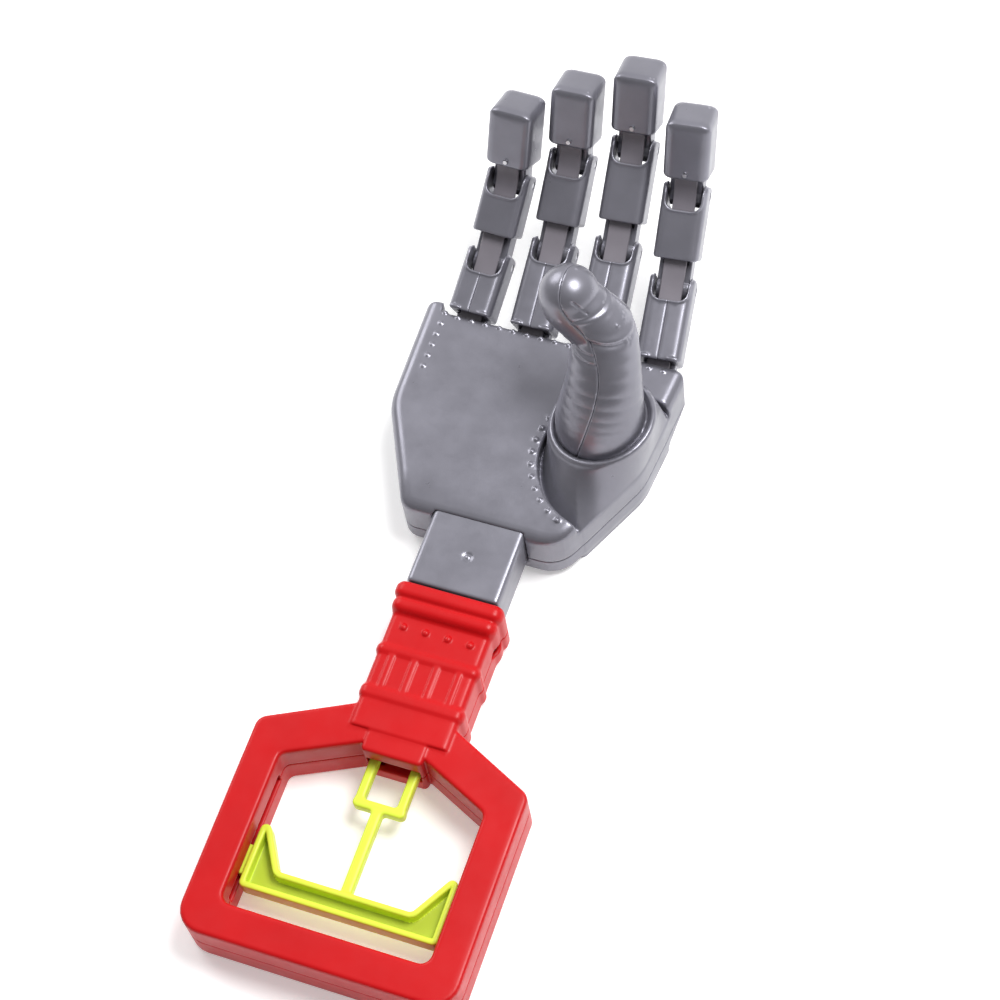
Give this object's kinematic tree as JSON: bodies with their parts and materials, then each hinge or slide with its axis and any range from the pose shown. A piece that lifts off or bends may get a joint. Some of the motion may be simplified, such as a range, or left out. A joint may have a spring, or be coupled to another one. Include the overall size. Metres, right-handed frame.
{
  "type": "hand-operated robot hand toy",
  "caption": "Toy robot hand on a short forearm: pulling the trigger in its ring handle curls the jointed fingers.",
  "frame": {"origin": "bottom centre of the bounding box, on the surface that the toy's back lies on", "axes": "+Y from the ring handle to the fingertips, +X to the thumb side, +Z out of the palm"},
  "size_m": [0.0651, 0.2193, 0.0598],
  "materials": {
    "red_plastic": "glossy",
    "silver_plastic": "satin",
    "lime_plastic": "glossy",
    "dark_plastic": "matte",
    "steel": "satin"
  },
  "bodies": {
    "handle": {"handle_front_shell": "red_plastic", "handle_back_shell": "red_plastic", "handle_screws": "steel", "return_spring": "steel", "wrist_block": "silver_plastic", "palm_front_shell": "silver_plastic", "palm_back_shell": "silver_plastic", "palm_screws": "steel", "knuckle_pins": "steel"},
    "trigger": {"trigger": "lime_plastic", "draw_slider": "dark_plastic", "little_strap": "dark_plastic", "ring_strap": "dark_plastic", "middle_strap": "dark_plastic", "index_strap": "dark_plastic"},
    "thumb": {"thumb_inner_half": "silver_plastic", "thumb_outer_half": "silver_plastic", "thumb_retainer": "silver_plastic", "thumb_screw": "steel"},
    "little_proximal": {"little_proximal_left": "silver_plastic", "little_proximal_right": "silver_plastic", "little_middle_pin": "steel"},
    "little_middle": {"little_middle": "silver_plastic", "little_end_pin": "steel"},
    "little_distal": {"little_distal": "silver_plastic", "little_peg": "steel"},
    "ring_proximal": {"ring_proximal_left": "silver_plastic", "ring_proximal_right": "silver_plastic", "ring_middle_pin": "steel"},
    "ring_middle": {"ring_middle": "silver_plastic", "ring_end_pin": "steel"},
    "ring_distal": {"ring_distal": "silver_plastic", "ring_peg": "steel"},
    "middle_proximal": {"middle_proximal_left": "silver_plastic", "middle_proximal_right": "silver_plastic", "middle_middle_pin": "steel"},
    "middle_middle": {"middle_middle": "silver_plastic", "middle_end_pin": "steel"},
    "middle_distal": {"middle_distal": "silver_plastic", "middle_peg": "steel"},
    "index_proximal": {"index_proximal_left": "silver_plastic", "index_proximal_right": "silver_plastic", "index_middle_pin": "steel"},
    "index_middle": {"index_middle": "silver_plastic", "index_end_pin": "steel"},
    "index_distal": {"index_distal": "silver_plastic", "index_peg": "steel"}
  },
  "joints": [
    {"name": "trigger_pull", "type": "slide", "parent": "handle", "child": "trigger", "axis": [0, -1, 0], "range_m": [-0.0075, 0.0055], "stiffness_N_per_m": 700, "deforming": ["return_spring", "little_strap", "ring_strap", "middle_strap", "index_strap"]},
    {"name": "thumb_swivel", "type": "hinge", "parent": "handle", "child": "thumb", "pos_m": [0.0192, 0.0295, 0.024], "axis": [-0.2079, 0, 0.9781], "range_deg": [-30, 30]},
    {"name": "little_base_knuckle", "type": "hinge", "parent": "handle", "child": "little_proximal", "pos_m": [-0.0215, 0.0459, 0.012], "axis": [0.9993, -0.0384, 0], "range_deg": [-20.4, 15]},
    {"name": "little_mid_knuckle", "type": "hinge", "parent": "little_proximal", "child": "little_middle", "pos_m": [-0.02074, 0.06558, 0.01929], "axis": [0.9993, -0.0384, 0], "range_deg": [-14.6, 10.8]},
    {"name": "little_tip_knuckle", "type": "hinge", "parent": "little_middle", "child": "little_distal", "pos_m": [-0.0201, 0.08224, 0.03087], "axis": [0.9993, -0.0384, 0], "range_deg": [-31.1, 22.9]},
    {"name": "ring_base_knuckle", "type": "hinge", "parent": "handle", "child": "ring_proximal", "pos_m": [-0.0056, 0.0459, 0.012], "axis": [0.9997, 0.0262, 0], "range_deg": [-20.4, 15]},
    {"name": "ring_mid_knuckle", "type": "hinge", "parent": "ring_proximal", "child": "ring_middle", "pos_m": [-0.00626, 0.07121, 0.02137], "axis": [0.9997, 0.0262, 0], "range_deg": [-14.6, 10.8]},
    {"name": "ring_tip_knuckle", "type": "hinge", "parent": "ring_middle", "child": "ring_distal", "pos_m": [-0.00674, 0.08952, 0.03409], "axis": [0.9997, 0.0262, 0], "range_deg": [-31.1, 22.9]},
    {"name": "middle_base_knuckle", "type": "hinge", "parent": "handle", "child": "middle_proximal", "pos_m": [0.0107, 0.0459, 0.012], "axis": [0.9973, 0.0732, 0], "range_deg": [-20.4, 15]},
    {"name": "middle_mid_knuckle", "type": "hinge", "parent": "middle_proximal", "child": "middle_middle", "pos_m": [0.00857, 0.0749, 0.02276], "axis": [0.9973, 0.0732, 0], "range_deg": [-14.6, 10.8]},
    {"name": "middle_tip_knuckle", "type": "hinge", "parent": "middle_middle", "child": "middle_distal", "pos_m": [0.00708, 0.09521, 0.03691], "axis": [0.9973, 0.0732, 0], "range_deg": [-31.1, 22.9]},
    {"name": "index_base_knuckle", "type": "hinge", "parent": "handle", "child": "index_proximal", "pos_m": [0.0263, 0.0459, 0.012], "axis": [0.9949, 0.1011, 0], "range_deg": [-20.4, 15]},
    {"name": "index_mid_knuckle", "type": "hinge", "parent": "index_proximal", "child": "index_middle", "pos_m": [0.0239, 0.06951, 0.02078], "axis": [0.9949, 0.1011, 0], "range_deg": [-14.6, 10.8]},
    {"name": "index_tip_knuckle", "type": "hinge", "parent": "index_middle", "child": "index_distal", "pos_m": [0.02203, 0.08797, 0.03368], "axis": [0.9949, 0.1011, 0], "range_deg": [-31.1, 22.9]}
  ],
  "couplings": [
    {"joint": "little_base_knuckle", "follows": "trigger_pull", "rad_per_m": 47.24},
    {"joint": "little_mid_knuckle", "follows": "trigger_pull", "rad_per_m": 33.743},
    {"joint": "little_tip_knuckle", "follows": "trigger_pull", "rad_per_m": 72.14},
    {"joint": "ring_base_knuckle", "follows": "trigger_pull", "rad_per_m": 47.24},
    {"joint": "ring_mid_knuckle", "follows": "trigger_pull", "rad_per_m": 33.743},
    {"joint": "ring_tip_knuckle", "follows": "trigger_pull", "rad_per_m": 72.14},
    {"joint": "middle_base_knuckle", "follows": "trigger_pull", "rad_per_m": 47.24},
    {"joint": "middle_mid_knuckle", "follows": "trigger_pull", "rad_per_m": 33.743},
    {"joint": "middle_tip_knuckle", "follows": "trigger_pull", "rad_per_m": 72.14},
    {"joint": "index_base_knuckle", "follows": "trigger_pull", "rad_per_m": 47.24},
    {"joint": "index_mid_knuckle", "follows": "trigger_pull", "rad_per_m": 33.743},
    {"joint": "index_tip_knuckle", "follows": "trigger_pull", "rad_per_m": 72.14}
  ]
}
